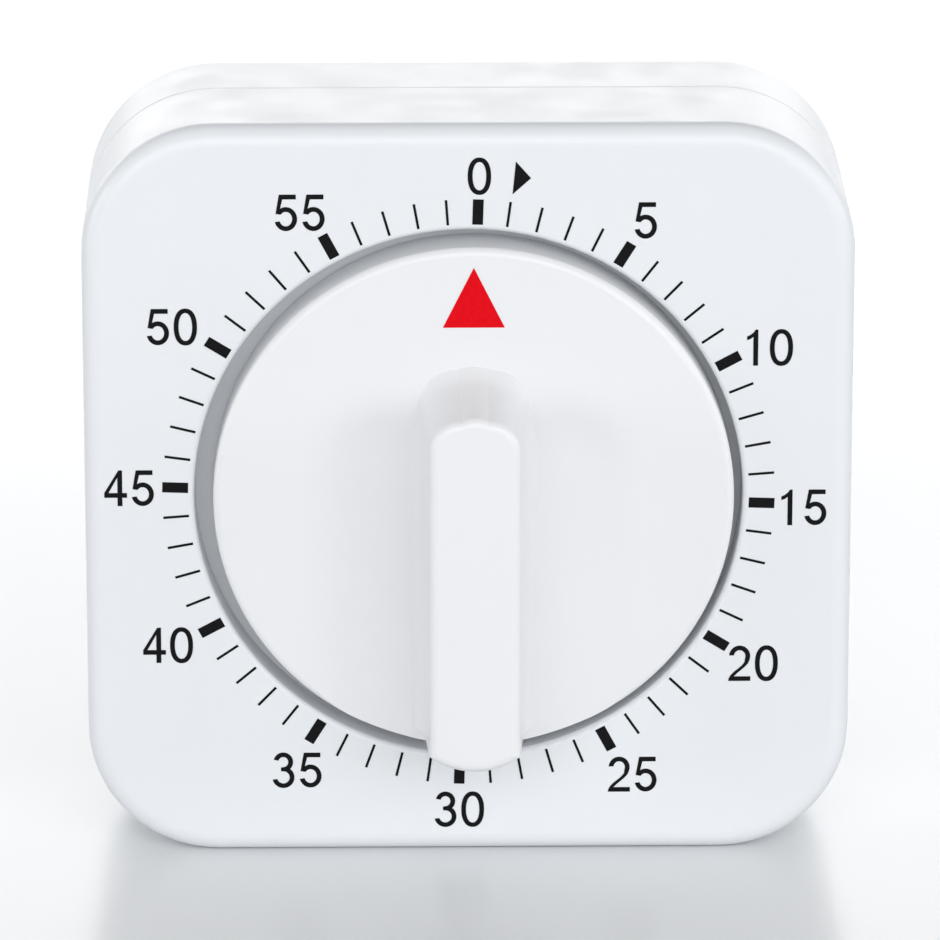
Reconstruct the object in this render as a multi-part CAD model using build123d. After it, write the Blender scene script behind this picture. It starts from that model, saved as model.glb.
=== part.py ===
from build123d import *
import os
from math import acos, atan2, cos, degrees, hypot, radians, sin, sqrt

# Sixty-minute mechanical timer: a square moulded case that stands on its edge, a turning dial knob in a
# round recess, and inside the case a spring-driven clock movement with a cam-released hammer and a bell.
# Millimetres. X is to the right, Y is to the back, Z is up. The front looks towards -Y.
# The origin is the middle of the flat base, halfway between the front and the back of the case.

# ---- case -------------------------------------------------------------------------------------------
BODY_WIDTH = 70.0
BODY_HEIGHT = 69.2
BODY_DEPTH = 26.7
CORNER_RADIUS = 12.0
FRONT_EDGE_RADIUS = 1.8
BACK_EDGE_RADIUS = 3.0
WALL = 2.0
FRONT_CASE_DEPTH = 14.5
SEAM_BEVEL = 0.2
INNER_EDGE_RADIUS = 1.2
TONGUE_LENGTH = 1.5
TONGUE_THICKNESS = 0.9
TONGUE_GAP = 0.1

AXIS_Z = BODY_HEIGHT / 2
FRONT_Y = -BODY_DEPTH / 2
BACK_Y = BODY_DEPTH / 2
SEAM_Y = FRONT_Y + FRONT_CASE_DEPTH

# ---- how far one shape runs into the shape it joins, and a cut past the face it opens ----------------
MERGE = 0.2
OVERRUN = 1.0

# ---- recess for the dial knob -----------------------------------------------------------------------
KNOB_RADIUS = 23.7
RECESS_GAP = 1.3
RECESS_DEPTH = 4.2
RECESS_WALL = 1.6
RECESS_MOUTH_RADIUS = 0.5
RECESS_RADIUS = KNOB_RADIUS + RECESS_GAP
RECESS_FLOOR_Y = FRONT_Y + RECESS_DEPTH
RECESS_BACK_Y = RECESS_FLOOR_Y + RECESS_WALL

# ---- dial knob --------------------------------------------------------------------------------------
MOVEMENT_OFFSET = 0.45
KNOB_PROUD = 1.6
KNOB_EDGE_RADIUS = 0.7
KNOB_WEB = 3.0
KNOB_SKIRT = 1.8
KNOB_FLOOR_GAP = 0.5
HUB_RADIUS = 4.6
HUB_CAP = 1.0
GRIP_HEIGHT = 9.1
GRIP_HALF_WIDTH = 4.05
GRIP_TOP = 10.3
GRIP_CORNER_SHARE = 0.7
GRIP_CROWN = 0.3
GRIP_FOOT_SETBACK = 0.2
GRIP_END_DRAFT = 0.4
GRIP_END_BULGE = 1.4
GRIP_EDGE_RADIUS = 0.8
GRIP_WALL = 1.7
GRIP_SIDE_DRAFT = 0.45
GRIP_TOP_DRAFT = 1.3
GRIP_FLARE_START = 2.0
GRIP_SIDE_FLARE = 1.7
GRIP_TOP_FLARE = 3.0
GRIP_FLARE_STEPS = 5
RIB_THICKNESS = 1.2
RIB_LUG_GAP = 0.4
SCOOP_INNER = 8.0
SCOOP_RUN = 7.4
SCOOP_FLAT = 0.6
SCOOP_DEPTH = 1.1
SCOOP_END_DEPTH = 0.7
SCOOP_CENTRE_RISE = 3.6
SCOOP_LID = 2.0

AXIS_X = MOVEMENT_OFFSET
KNOB_FRONT_Y = FRONT_Y - KNOB_PROUD
KNOB_BACK_Y = RECESS_FLOOR_Y - KNOB_FLOOR_GAP
GRIP_BOTTOM = KNOB_RADIUS - GRIP_FOOT_SETBACK - GRIP_END_DRAFT

# ---- stop lugs under the knob and on the recess floor ----------------------------------------------
LUG_INSET = 6.2
LUG_LENGTH = 2.5
LUG_WIDTH = 0.8
LUG_OVERLAP = 0.9
LUG_SIDE_GAP = 0.05
CASE_LUG_ANGLE = 90.0
LUG_INNER_RADIUS = KNOB_RADIUS - LUG_INSET
LUG_STEP_ANGLE = degrees((LUG_WIDTH + LUG_SIDE_GAP) / LUG_INNER_RADIUS)

# ---- movement frame ---------------------------------------------------------------------------------
PLATE_HALF = 26.0
PLATE_CORNER_CUT = 4.0
PLATE_THICKNESS = 0.8
PLATE_SPACING = 9.5
PLATE_STAND_OFF = 0.65
PILLAR_RADIUS = 1.8
PILLAR_HALF_SPACING = 23.5
PILLAR_UPPER_Z = 12.0
PILLAR_LOWER_Z = -17.5
FRONT_PLATE_Y = RECESS_BACK_Y + PLATE_STAND_OFF
FRONT_PLATE_BACK_Y = FRONT_PLATE_Y + PLATE_THICKNESS
REAR_PLATE_Y = FRONT_PLATE_BACK_Y + PLATE_SPACING
REAR_PLATE_BACK_Y = REAR_PLATE_Y + PLATE_THICKNESS
MOVEMENT_SCREW_OFFSET = 22.5
COVER_SCREW_INSET = 8.0
COVER_SCREW_OFFSET = min(BODY_WIDTH, BODY_HEIGHT) / 2 - COVER_SCREW_INSET

# ---- fasteners --------------------------------------------------------------------------------------
SCREW_FIT = 0.02
COVER_SCREW_RADIUS = 1.2
COVER_SCREW_HEAD_RADIUS = 2.2
COVER_SCREW_HEAD_HEIGHT = 1.4
COVER_SCREW_BITE = 7.0
SCREW_FREE_GAP = 0.2
COUNTERBORE_GAP = 0.3
COUNTERBORE_DEPTH = 3.0
COVER_BOSS_RADIUS = 3.2
MOVEMENT_SCREW_RADIUS = 1.0
MOVEMENT_SCREW_HEAD_RADIUS = 1.9
MOVEMENT_SCREW_HEAD_HEIGHT = 1.0
MOVEMENT_SCREW_BITE = 3.4
MOVEMENT_BOSS_RADIUS = 2.6
PILLAR_SCREW_RADIUS = 0.9
PILLAR_SCREW_HEAD_RADIUS = 1.7
PILLAR_SCREW_HEAD_HEIGHT = 0.9
PILLAR_SCREW_BITE = 4.0
DRIVER_HOLE_RADIUS = 2.2
CROSS_SHARE = 1.3
CROSS_WIDTH = 0.5
CROSS_DEPTH = 0.6
HOLE_SPARE = 0.3

# ---- running fits -----------------------------------------------------------------------------------
PIVOT_GAP = 0.05
ARBOR_GAP = 0.06
END_SHAKE = 0.15
SEAT_GAP = 0.02

# ---- going train: wheels and pinions ----------------------------------------------------------------
PINION_LEAVES = 8
GREAT_TEETH = 64
GREAT_MODULE = 0.40
SECOND_TEETH = 60
SECOND_MODULE = 0.30
THIRD_TEETH = 48
THIRD_MODULE = 0.28
ESCAPE_TEETH = 15
ESCAPE_RADIUS = 4.0
ESCAPE_ROOT_RADIUS = 3.1
ADDENDUM = 0.85
DEDENDUM = 1.25
TOOTH_SHARE = 0.36
TIP_SHARE = 0.16
ROOT_SHARE = 0.46
SECOND_BEARING = 205.0
THIRD_BEARING = 278.0
ESCAPE_BEARING = -12.0
VERGE_DISTANCE = 5.3
PIVOT_RADIUS = 0.5
SHOULDER_RADIUS = 0.8
PINION_LENGTH = 1.9
GREAT_RIM = 1.1
GREAT_HUB_MARGIN = 0.6
GREAT_OPENING_BEARING = 15.0
SECOND_RIM = 1.0
THIRD_RIM = 1.0
ESCAPE_RIM = 0.4
WHEEL_HUB_MARGIN = 0.9
GREAT_ROOT_RADIUS = (GREAT_TEETH / 2 - DEDENDUM) * GREAT_MODULE
SECOND_ROOT_RADIUS = (SECOND_TEETH / 2 - DEDENDUM) * SECOND_MODULE
THIRD_ROOT_RADIUS = (THIRD_TEETH / 2 - DEDENDUM) * THIRD_MODULE
GREAT_OPENING_OUTER = GREAT_ROOT_RADIUS - GREAT_RIM
SECOND_OPENING_OUTER = SECOND_ROOT_RADIUS - SECOND_RIM
THIRD_OPENING_OUTER = THIRD_ROOT_RADIUS - THIRD_RIM
ESCAPE_OPENING_OUTER = ESCAPE_ROOT_RADIUS - ESCAPE_RIM

# ---- levels, counted back from the rear face of the front plate ------------------------------------
CAM_LEVEL = 0.3
CAM_THICKNESS = 0.8
RATCHET_LEVEL = 1.4
RATCHET_THICKNESS = 0.8
GREAT_LEVEL = 2.4
GREAT_THICKNESS = 0.8
SPRING_LEVEL = 3.8
SPRING_HEIGHT = 3.6
THIRD_LEVEL = 5.0
SECOND_LEVEL = 8.0
WHEEL_THICKNESS = 0.6
ESCAPE_LEVEL = 1.6
ESCAPE_THICKNESS = 0.5
VERGE_LEVEL = 0.5
VERGE_THICKNESS = 0.6

# ---- main arbor, ratchet, click and mainspring ------------------------------------------------------
ARBOR_RADIUS = 2.5
ARBOR_FLAT = 1.8
ARBOR_REACH = 7.0
ARBOR_REAR_RADIUS = 1.5
ARBOR_HOLE_GAP = 0.7
RATCHET_TEETH = 24
RATCHET_RADIUS = 6.0
RATCHET_ROOT_RADIUS = 5.2
CLICK_NOSE_BEARING = 60.0
CLICK_NOSE_RADIUS = 5.5
CLICK_LENGTH = 6.0
CLICK_FACE_ANGLE = 1.2
CLICK_TIP_ANGLE = 4.0
CLICK_TIP_LIFT = 0.12
CLICK_HEEL_ANGLE = 6.5
CLICK_HEEL_LIFT = 0.25
CLICK_CROWN_LIFT = 0.9
CLICK_BOSS_RADIUS = 1.1
CLICK_PIN_RADIUS = 0.5
CLICK_PIN_PROUD = 0.1
CLICK_SPRING_HALF_THICKNESS = 0.25
CLICK_SPRING_EYE_WALL = 0.2
CLICK_SPRING_FOOT_BEARING = 72.0
CLICK_SPRING_FOOT_INSET = 1.0
CLICK_SPRING_TIP_LAG = 16.0
CLICK_SPRING_TIP_LIFT = 1.3
RING_RADIUS = 4.2
RING_GAP = 0.1
RING_THICKNESS = 0.3
SPRING_INNER_GAP = 0.15
SPRING_OUTER_RADIUS = 10.4
SPRING_STRIP = 0.22
SPRING_TURNS = 6.0
SPRING_POINTS_PER_TURN = 8
SPRING_POST_RADIUS = 0.8
SPRING_POST_BEARING = 45.0

# ---- strike work and bell ---------------------------------------------------------------------------
CAM_ARBOR_GAP = 1.6
CAM_NOTCH_DEPTH = 2.6
CAM_NOTCH_REACH = 1.3
CAM_NOTCH_BEFORE = 13.0
CAM_NOTCH_FLOOR = 20.0
CAM_NOTCH_AFTER = 38.0
HAMMER_PIVOT_DISTANCE = 22.4
HAMMER_PIVOT_BEARING = -2.0
FOLLOWER_RADIUS = 0.8
FOLLOWER_GAP = 0.1
LEVER_HUB_RADIUS = 1.8
HAMMER_ARM_HALF_WIDTH = 0.7
HAMMER_ARM_THICKNESS = 0.6
HAMMER_ARM_GAP = 0.3
HAMMER_HEAD_RADIUS = 2.0
HAMMER_HEAD_SETBACK = 1.3
STRIKE_GAP = 1.35
HAMMER_SPRING_WIRE = 0.15
HAMMER_SPRING_RADIUS = 1.3
HAMMER_SPRING_TURNS = 4
HAMMER_SPRING_PITCH = 0.5
HAMMER_SPRING_LEVEL = 2.0
BELL_RADIUS = 17.0
BELL_WALL = 0.9
BELL_EDGE_RADIUS = 1.6
BELL_RISE = 6.0
BELL_STAND_OFF = 1.2
BELL_COVER_GAP = 0.15
BELL_POST_RADIUS = 2.2
BELL_SCREW_RADIUS = 1.0
BELL_SCREW_HEAD_RADIUS = 2.0
BELL_SCREW_HEAD_HEIGHT = 0.8
BELL_SCREW_BITE = 3.0

# ---- escapement -------------------------------------------------------------------------------------
PALLET_PIN_RADIUS = 0.3
PALLET_PIN_BACK = 1.9
PALLET_PIN_SPREAD = 3.3
PALLET_PIN_PROUD = 0.3
VERGE_HUB_RADIUS = 1.6
VERGE_HALF_WIDTH = 0.7
BALANCE_HALF_LENGTH = 6.0
BALANCE_HALF_WIDTH = 0.8
BALANCE_WEIGHT_RADIUS = 2.0
BALANCE_THICKNESS = 1.0
BALANCE_LEVEL = 7.6


# ---- helpers ----------------------------------------------------------------------------------------
def slab(sketch, y_front, y_back):
    """Extrude a front-view sketch, drawn in X and Z, between two depths."""
    plane = Plane(origin=(0, y_back, 0), x_dir=(1, 0, 0), z_dir=(0, -1, 0))
    return extrude(plane * sketch, amount=y_back - y_front)


def rod(centre, radius, y_front, y_back):
    return slab(Pos(*centre) * Circle(radius), y_front, y_back)


def case_outline(inset=0.0):
    outline = RectangleRounded(BODY_WIDTH - 2 * inset, BODY_HEIGHT - 2 * inset, CORNER_RADIUS - inset)
    return Pos(0, AXIS_Z) * outline


def polar(bearing, distance, start=(0.0, 0.0)):
    """The front-view point at a bearing in degrees, counted from +X towards +Z."""
    return (start[0] + distance * cos(radians(bearing)), start[1] + distance * sin(radians(bearing)))


def on_axis(point):
    """Move a point given from the dial's axis into the part's frame."""
    return (AXIS_X + point[0], AXIS_Z + point[1])


def polygon(points):
    return make_face(Polyline(*points, close=True))


def level(value):
    return FRONT_PLATE_BACK_Y + value


def bar(start, end, half_width):
    """A straight bar with round ends between two front-view points."""
    length = hypot(end[0] - start[0], end[1] - start[1])
    turn = degrees(atan2(end[1] - start[1], end[0] - start[0]))
    middle = ((start[0] + end[0]) / 2, (start[1] + end[1]) / 2)
    return Pos(*middle) * Rot(0, 0, turn) * SlotCenterToCenter(length, 2 * half_width)


def teeth_outline(count, module, centre, first_tooth):
    """A ring of straight-sided teeth, with one tooth centred on the first_tooth bearing."""
    pitch_radius = count * module / 2
    root = pitch_radius - DEDENDUM * module
    tip = pitch_radius + ADDENDUM * module
    step = 360.0 / count
    points = []
    for index in range(count):
        middle = first_tooth + index * step
        points.append(polar(middle - ROOT_SHARE * step / 2, root, centre))
        points.append(polar(middle - TOOTH_SHARE * step / 2, pitch_radius, centre))
        points.append(polar(middle - TIP_SHARE * step / 2, tip, centre))
        points.append(polar(middle + TIP_SHARE * step / 2, tip, centre))
        points.append(polar(middle + TOOTH_SHARE * step / 2, pitch_radius, centre))
        points.append(polar(middle + ROOT_SHARE * step / 2, root, centre))
    return polygon(points)


def saw_outline(count, tip, root, centre, first_tooth):
    """A ring of saw teeth whose radial faces look counter-clockwise."""
    step = 360.0 / count
    points = []
    for index in range(count):
        face = first_tooth + index * step
        points.append(polar(face, tip, centre))
        points.append(polar(face, root, centre))
    return polygon(points)


def cross_slot(centre, head_radius, y_outer):
    """The cross recess of a screw head that looks to the back."""
    length = CROSS_SHARE * head_radius
    cross = Rectangle(length, CROSS_WIDTH) + Rectangle(CROSS_WIDTH, length)
    return slab(Pos(*centre) * cross, y_outer - CROSS_DEPTH, y_outer)


def rear_headed_screw(centre, radius, head_radius, head_height, seat_y, length):
    """A screw that is driven from the back: its head sits on seat_y and its shank runs forward."""
    head = rod(centre, head_radius, seat_y, seat_y + head_height)
    shank = rod(centre, radius, seat_y - length, seat_y)
    return head + shank - cross_slot(centre, head_radius, seat_y + head_height)


def corners(offset, centre):
    return [(centre[0] + sx * offset, centre[1] + sz * offset) for sx in (-1, 1) for sz in (-1, 1)]


# ---- places worked out from the sizes ---------------------------------------------------------------
AXIS = on_axis((0, 0))
CASE_CENTRE = (0.0, AXIS_Z)
COVER_SCREWS = corners(COVER_SCREW_OFFSET, CASE_CENTRE)
MOVEMENT_SCREWS = corners(MOVEMENT_SCREW_OFFSET, AXIS)
PILLARS = [
    on_axis((side * PILLAR_HALF_SPACING, height))
    for side in (-1, 1)
    for height in (PILLAR_UPPER_Z, PILLAR_LOWER_Z)
]


def centre_distance(teeth, module):
    return (teeth + PINION_LEAVES) * module / 2


SECOND_DISTANCE = centre_distance(GREAT_TEETH, GREAT_MODULE)
SECOND_AT = polar(SECOND_BEARING, SECOND_DISTANCE, AXIS)
THIRD_AT = polar(THIRD_BEARING, centre_distance(SECOND_TEETH, SECOND_MODULE), SECOND_AT)
ESCAPE_AT = polar(ESCAPE_BEARING, centre_distance(THIRD_TEETH, THIRD_MODULE), THIRD_AT)
VERGE_AT = polar(0, VERGE_DISTANCE, ESCAPE_AT)
SPRING_POST_AT = polar(SPRING_POST_BEARING, SPRING_OUTER_RADIUS + SPRING_STRIP / 2 + SPRING_POST_RADIUS, AXIS)

CAM_RADIUS = SECOND_DISTANCE - SHOULDER_RADIUS - CAM_ARBOR_GAP
HAMMER_AT = polar(HAMMER_PIVOT_BEARING, HAMMER_PIVOT_DISTANCE, AXIS)
FOLLOWER_DISTANCE = CAM_RADIUS + FOLLOWER_GAP + FOLLOWER_RADIUS
FOLLOWER_BEARING = HAMMER_PIVOT_BEARING - degrees(acos(FOLLOWER_DISTANCE / HAMMER_PIVOT_DISTANCE))
FOLLOWER_AT = polar(FOLLOWER_BEARING, FOLLOWER_DISTANCE, AXIS)

BELL_AT = (AXIS[0], AXIS[1] + BELL_RISE)
HEAD_DISTANCE = BELL_RADIUS + STRIKE_GAP + HAMMER_HEAD_RADIUS
BELL_TO_PIVOT = hypot(HAMMER_AT[0] - BELL_AT[0], HAMMER_AT[1] - BELL_AT[1])
PIVOT_BEARING = degrees(atan2(HAMMER_AT[1] - BELL_AT[1], HAMMER_AT[0] - BELL_AT[0]))
HEAD_AT = polar(PIVOT_BEARING - degrees(acos(HEAD_DISTANCE / BELL_TO_PIVOT)), HEAD_DISTANCE, BELL_AT)
BELL_Y = REAR_PLATE_BACK_Y + BELL_STAND_OFF
BELL_BACK_Y = BACK_Y - WALL - BELL_COVER_GAP - BELL_SCREW_HEAD_HEIGHT
BELL_DEPTH = BELL_BACK_Y - BELL_Y
HAMMER_ARM_Y = REAR_PLATE_BACK_Y + HAMMER_ARM_GAP

CLICK_NOSE = polar(CLICK_NOSE_BEARING, CLICK_NOSE_RADIUS, AXIS)
CLICK_AT = polar(CLICK_NOSE_BEARING + 90, CLICK_LENGTH, CLICK_NOSE)
CLICK_AT_RADIUS = hypot(CLICK_LENGTH, CLICK_NOSE_RADIUS)
CLICK_AT_BEARING = CLICK_NOSE_BEARING + degrees(atan2(CLICK_LENGTH, CLICK_NOSE_RADIUS))
CLICK_SPRING_FOOT = polar(CLICK_SPRING_FOOT_BEARING, GREAT_ROOT_RADIUS - CLICK_SPRING_FOOT_INSET, AXIS)
CLICK_SPRING_TIP_RADIUS = CLICK_AT_RADIUS + CLICK_SPRING_TIP_LIFT
CLICK_SPRING_TIP = polar(CLICK_AT_BEARING - CLICK_SPRING_TIP_LAG, CLICK_SPRING_TIP_RADIUS, AXIS)

PIVOT_HOLES = [SECOND_AT, THIRD_AT, ESCAPE_AT, VERGE_AT, HAMMER_AT]


# ---- case parts -------------------------------------------------------------------------------------
def make_front_case():
    shell = slab(case_outline(), FRONT_Y, SEAM_Y)
    shell = fillet(shell.faces().sort_by(Axis.Y)[0].edges(), FRONT_EDGE_RADIUS)
    shell = chamfer(shell.faces().sort_by(Axis.Y)[-1].edges(), SEAM_BEVEL)
    cavity = slab(case_outline(WALL), FRONT_Y + WALL, SEAM_Y)
    cavity = fillet(cavity.faces().sort_by(Axis.Y)[0].edges(), INNER_EDGE_RADIUS)
    shell -= cavity
    shell += rod(CASE_CENTRE, RECESS_RADIUS + RECESS_WALL, FRONT_Y + WALL / 2, RECESS_BACK_Y)
    for centre in COVER_SCREWS:
        shell += rod(centre, COVER_BOSS_RADIUS, FRONT_Y + WALL / 2, SEAM_Y)
    for centre in MOVEMENT_SCREWS:
        shell += rod(centre, MOVEMENT_BOSS_RADIUS, FRONT_Y + WALL / 2, FRONT_PLATE_Y)
    shell -= rod(CASE_CENTRE, RECESS_RADIUS, FRONT_Y - OVERRUN, RECESS_FLOOR_Y)
    mouth = shell.edges().filter_by(GeomType.CIRCLE).filter_by(
        lambda edge: abs(edge.radius - RECESS_RADIUS) < 0.01 and abs(edge.center().Y - FRONT_Y) < 0.01
    )
    shell = fillet(mouth, RECESS_MOUTH_RADIUS)
    shell -= rod(AXIS, ARBOR_RADIUS + ARBOR_HOLE_GAP, RECESS_FLOOR_Y - OVERRUN, RECESS_BACK_Y + OVERRUN)
    for centre in COVER_SCREWS:
        hole_front = SEAM_Y - COVER_SCREW_BITE - HOLE_SPARE
        shell -= rod(centre, COVER_SCREW_RADIUS + SCREW_FIT, hole_front, SEAM_Y)
    for centre in MOVEMENT_SCREWS:
        hole_front = FRONT_PLATE_Y - MOVEMENT_SCREW_BITE - HOLE_SPARE
        shell -= rod(centre, MOVEMENT_SCREW_RADIUS + SCREW_FIT, hole_front, FRONT_PLATE_Y)
    lug_front = KNOB_BACK_Y - LUG_OVERLAP
    return shell + slab(stop_lug(CASE_LUG_ANGLE), lug_front, RECESS_FLOOR_Y + MERGE)


def stop_lug(bearing):
    """A radial stop lug, centred on a bearing about the dial's axis."""
    lug = Pos(LUG_INNER_RADIUS + LUG_LENGTH / 2, 0) * Rectangle(LUG_LENGTH, LUG_WIDTH)
    return Pos(*AXIS) * Rot(0, 0, bearing) * lug


def make_rear_cover():
    shell = slab(case_outline(), SEAM_Y, BACK_Y)
    shell = fillet(shell.faces().sort_by(Axis.Y)[-1].edges(), BACK_EDGE_RADIUS)
    shell = chamfer(shell.faces().sort_by(Axis.Y)[0].edges(), SEAM_BEVEL)
    cavity = slab(case_outline(WALL), SEAM_Y, BACK_Y - WALL)
    shell -= fillet(cavity.faces().sort_by(Axis.Y)[-1].edges(), INNER_EDGE_RADIUS)
    tongue_outer = case_outline(WALL + TONGUE_GAP)
    tongue_inner = case_outline(WALL + TONGUE_GAP + TONGUE_THICKNESS)
    root_outer = case_outline(WALL / 2)
    shell += slab(tongue_outer - tongue_inner, SEAM_Y - TONGUE_LENGTH, SEAM_Y)
    shell += slab(root_outer - tongue_inner, SEAM_Y, SEAM_Y + TONGUE_LENGTH)
    for centre in COVER_SCREWS:
        shell += rod(centre, COVER_BOSS_RADIUS, SEAM_Y, BACK_Y - WALL / 2)
    for centre in COVER_SCREWS:
        shell -= rod(centre, COVER_SCREW_RADIUS + SCREW_FREE_GAP, SEAM_Y - OVERRUN, BACK_Y)
        head_hole = COVER_SCREW_HEAD_RADIUS + COUNTERBORE_GAP
        shell -= rod(centre, head_hole, BACK_Y - COUNTERBORE_DEPTH, BACK_Y + OVERRUN)
    return shell


def make_cover_screws():
    seat = BACK_Y - COUNTERBORE_DEPTH
    length = seat - SEAM_Y + COVER_SCREW_BITE
    return [
        rear_headed_screw(
            centre, COVER_SCREW_RADIUS, COVER_SCREW_HEAD_RADIUS, COVER_SCREW_HEAD_HEIGHT, seat, length
        )
        for centre in COVER_SCREWS
    ]


# ---- dial knob --------------------------------------------------------------------------------------
def grip_outline(half_width, top, bottom):
    """The grip's outline: rounded corners and a low crown above, a shallow bulged end below."""
    corner = GRIP_CORNER_SHARE * half_width
    shoulder = top - GRIP_CROWN - corner
    inner = half_width - corner
    bend = corner * sin(radians(45))
    heel = bottom - GRIP_END_BULGE
    sides = [
        Line((-half_width, -heel), (-half_width, shoulder)),
        ThreePointArc((-half_width, shoulder), (-inner - bend, shoulder + bend), (-inner, shoulder + corner)),
        ThreePointArc((-inner, shoulder + corner), (0, top), (inner, shoulder + corner)),
        ThreePointArc((inner, shoulder + corner), (inner + bend, shoulder + bend), (half_width, shoulder)),
        Line((half_width, shoulder), (half_width, -heel)),
        ThreePointArc((half_width, -heel), (0, -bottom), (-half_width, -heel)),
    ]
    return Pos(*AXIS) * make_face(sides)


def grip_section(height, inset=0.0):
    """The grip's cross-section at a height over the disc's face: drafted walls that flare into the disc."""
    draft = (GRIP_HEIGHT - height) / (GRIP_HEIGHT - GRIP_FLARE_START)
    flare = 0.0
    if height < GRIP_FLARE_START and inset == 0.0:
        share = (GRIP_FLARE_START - height) / (GRIP_FLARE_START + SCOOP_DEPTH)
        flare = 1 - sqrt(1 - min(share, 1.0) ** 2)
    half_width = GRIP_HALF_WIDTH + draft * GRIP_SIDE_DRAFT + flare * GRIP_SIDE_FLARE - inset
    top = GRIP_TOP + draft * GRIP_TOP_DRAFT + flare * GRIP_TOP_FLARE - inset
    bottom = GRIP_BOTTOM + min(draft, 1.0) * GRIP_END_DRAFT - inset
    plane = Plane(origin=(0, KNOB_FRONT_Y - height, 0), x_dir=(1, 0, 0), z_dir=(0, -1, 0))
    return plane * grip_outline(half_width, top, bottom)


def make_grip():
    """The grip's walls with their rounded ridge, and the flare that runs down into the hollows."""
    walls = loft([grip_section(GRIP_FLARE_START), grip_section(GRIP_HEIGHT)])
    walls = fillet(walls.faces().sort_by(Axis.Y)[0].edges(), GRIP_EDGE_RADIUS)
    fall = GRIP_FLARE_START + SCOOP_DEPTH
    turns = [90 * step / GRIP_FLARE_STEPS for step in range(GRIP_FLARE_STEPS + 1)]
    heights = [GRIP_FLARE_START - fall * sin(radians(turn)) for turn in turns]
    return walls + loft([grip_section(height) for height in reversed(heights)])


def scoop_curve(depth, side):
    """One side of a hollow's cross-section: a narrow flat, then two tangent arcs up to the disc's face."""
    run = SCOOP_RUN - SCOOP_FLAT
    radius = (run**2 + depth**2) / (4 * depth)
    half_turn = atan2(depth, run)
    across = radius * sin(half_turn)
    rise = radius * (1 - cos(half_turn))
    start = (side * SCOOP_FLAT, -depth)
    middle = (side * (SCOOP_FLAT + run / 2), -depth / 2)
    lower = ThreePointArc(start, (side * (SCOOP_FLAT + across), rise - depth), middle)
    upper = ThreePointArc(middle, (side * (SCOOP_RUN - across), -rise), (side * SCOOP_RUN, 0))
    wall = Line((side * SCOOP_RUN, 0), (side * SCOOP_RUN, SCOOP_LID))
    return [Line((0, -depth), start), lower, upper, wall]


def scoop_cutter(side):
    """The finger hollow beside the grip: a channel that grows shallower to the rim, with a round end."""
    across = AXIS_X + side * SCOOP_INNER
    centre = (across, KNOB_FRONT_Y, AXIS_Z + SCOOP_CENTRE_RISE)
    rim = (across, KNOB_FRONT_Y, AXIS_Z - KNOB_RADIUS - OVERRUN)
    sections = []
    for origin, depth in ((centre, SCOOP_DEPTH), (rim, SCOOP_END_DEPTH)):
        lid = Line((-SCOOP_RUN, SCOOP_LID), (SCOOP_RUN, SCOOP_LID))
        outline = make_face(scoop_curve(depth, -1) + scoop_curve(depth, 1) + [lid])
        sections.append(Plane(origin=origin, x_dir=(1, 0, 0), z_dir=(0, 0, -1)) * outline)
    lid = Line((0, SCOOP_LID), (SCOOP_RUN, SCOOP_LID))
    half = make_face(scoop_curve(SCOOP_DEPTH, 1) + [lid, Line((0, -SCOOP_DEPTH), (0, SCOOP_LID))])
    half = Plane(origin=centre, x_dir=(1, 0, 0), z_dir=(0, 0, -1)) * half
    return loft(sections, ruled=True) + revolve(half, Axis(centre, (0, -1, 0)), 180)


def make_dial_knob():
    disc = rod(AXIS, KNOB_RADIUS, KNOB_FRONT_Y, KNOB_BACK_Y)
    disc = fillet(disc.faces().sort_by(Axis.Y)[0].edges(), KNOB_EDGE_RADIUS)
    for side in (-1, 1):
        disc -= scoop_cutter(side)
    knob = disc + make_grip()
    web_y = KNOB_FRONT_Y + KNOB_WEB
    under = Circle(KNOB_RADIUS - KNOB_SKIRT) - Circle(HUB_RADIUS)
    knob -= slab(Pos(*AXIS) * under, web_y, KNOB_BACK_Y)
    hub_front = KNOB_BACK_Y - ARBOR_REACH - HUB_CAP
    grip_hollow = loft([grip_section(-KNOB_WEB, GRIP_WALL), grip_section(GRIP_HEIGHT - GRIP_WALL, GRIP_WALL)])
    knob -= grip_hollow - rod(AXIS, HUB_RADIUS, hub_front, KNOB_BACK_Y)
    rib_back = KNOB_BACK_Y - LUG_OVERLAP - RIB_LUG_GAP
    ribs = Rectangle(2 * KNOB_RADIUS - KNOB_SKIRT, RIB_THICKNESS)
    ribs += Rectangle(RIB_THICKNESS, 2 * KNOB_RADIUS - KNOB_SKIRT)
    ribs -= Circle(HUB_RADIUS - MERGE)
    knob += slab(Pos(*AXIS) * Rot(0, 0, 45) * ribs, web_y - MERGE, rib_back)
    knob += slab(stop_lug(CASE_LUG_ANGLE - LUG_STEP_ANGLE), web_y - MERGE, KNOB_BACK_Y)
    bore = arbor_section(ARBOR_RADIUS + SEAT_GAP, ARBOR_FLAT + SEAT_GAP)
    return knob - slab(Pos(*AXIS) * bore, KNOB_BACK_Y - ARBOR_REACH - SEAT_GAP, KNOB_BACK_Y + OVERRUN)


def arbor_section(radius, flat):
    """A circle with one flat side, which drives the knob."""
    return Circle(radius) - Pos(0, flat + radius) * Rectangle(4 * radius, 2 * radius)


# ---- movement frame ---------------------------------------------------------------------------------
def plate_outline():
    square = Rectangle(2 * PLATE_HALF, 2 * PLATE_HALF)
    return Pos(*AXIS) * chamfer(square.vertices(), PLATE_CORNER_CUT)


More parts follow.
